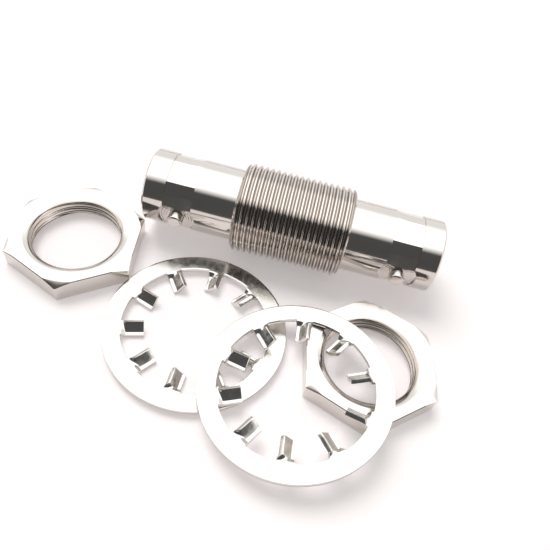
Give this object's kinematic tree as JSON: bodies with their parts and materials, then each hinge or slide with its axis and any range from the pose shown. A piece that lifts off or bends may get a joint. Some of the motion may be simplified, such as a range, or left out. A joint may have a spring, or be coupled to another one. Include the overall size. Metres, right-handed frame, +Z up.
{
  "type": "bnc connector",
  "caption": "Coaxial bayonet adapter with a socket at each end and a threaded middle for a panel hole, with its hex nuts and toothed lock washers lying loose beside it.",
  "frame": {"origin": "on the adapter's axis, at the middle of its length", "axes": "+X along the adapter towards its right socket, +Z up from the surface that the pieces lie on"},
  "size_m": [0.057, 0.0398, 0.012],
  "materials": {
    "nickel_plate": "bright nickel plate",
    "sheet_nickel": "bright nickel plate on stamped sheet",
    "contact_plating": "gold plate",
    "white_insulation": "smooth white"
  },
  "bodies": {
    "root": {"connector_body": "nickel_plate", "centre_contact": "contact_plating", "insulator_left": "white_insulation", "insulator_right": "white_insulation", "retaining_sleeve_left": "nickel_plate", "retaining_sleeve_right": "nickel_plate", "hex_nut_left": "nickel_plate", "hex_nut_right": "nickel_plate", "lock_washer_left": "sheet_nickel", "lock_washer_right": "sheet_nickel"}
  },
  "joints": []
}
